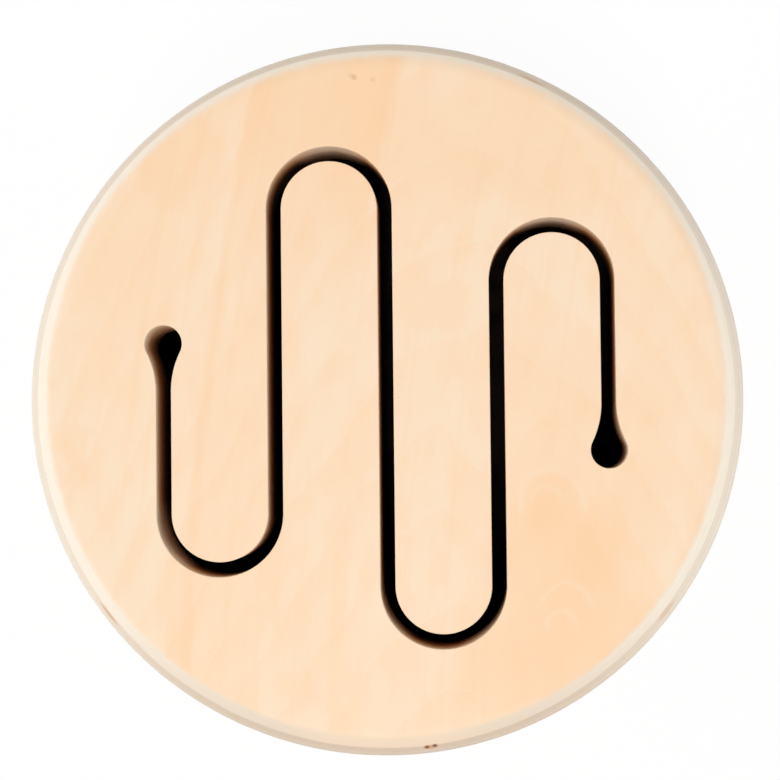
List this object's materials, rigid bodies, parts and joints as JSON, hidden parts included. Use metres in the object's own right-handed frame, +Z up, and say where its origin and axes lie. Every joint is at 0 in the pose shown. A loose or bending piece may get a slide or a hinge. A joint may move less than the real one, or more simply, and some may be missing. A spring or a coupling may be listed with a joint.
{
  "type": "toy drum",
  "caption": "Round wooden tongue drum: a plywood head cut into tongues by one snaking slot, on a bent plywood shell with a screwed base and rubber feet.",
  "frame": {"origin": "floor under the drum's axis, at the level of the feet", "axes": "+Z up through the head; +Y towards the shell's scarf joint at the back; +X to the right seen from above with +Y up the page"},
  "size_m": [0.195, 0.195, 0.0999],
  "materials": {
    "birch_plywood": "satin clear lacquer on birch plywood",
    "birch_shell": "satin clear lacquer on bent birch plywood",
    "beech": "bare sanded beech",
    "rubber": "matt black rubber",
    "zinc_steel": "zinc plated steel"
  },
  "bodies": {
    "root": {"head": "birch_plywood", "shell": "birch_shell", "upper_hoop": "beech", "lower_hoop": "beech", "base": "birch_plywood", "base_screw_1": "zinc_steel", "base_screw_2": "zinc_steel", "base_screw_3": "zinc_steel", "base_screw_4": "zinc_steel", "base_screw_5": "zinc_steel", "base_screw_6": "zinc_steel", "foot_1": "rubber", "foot_washer_1": "zinc_steel", "foot_screw_1": "zinc_steel", "foot_2": "rubber", "foot_washer_2": "zinc_steel", "foot_screw_2": "zinc_steel", "foot_3": "rubber", "foot_washer_3": "zinc_steel", "foot_screw_3": "zinc_steel", "foot_4": "rubber", "foot_washer_4": "zinc_steel", "foot_screw_4": "zinc_steel"}
  },
  "joints": []
}
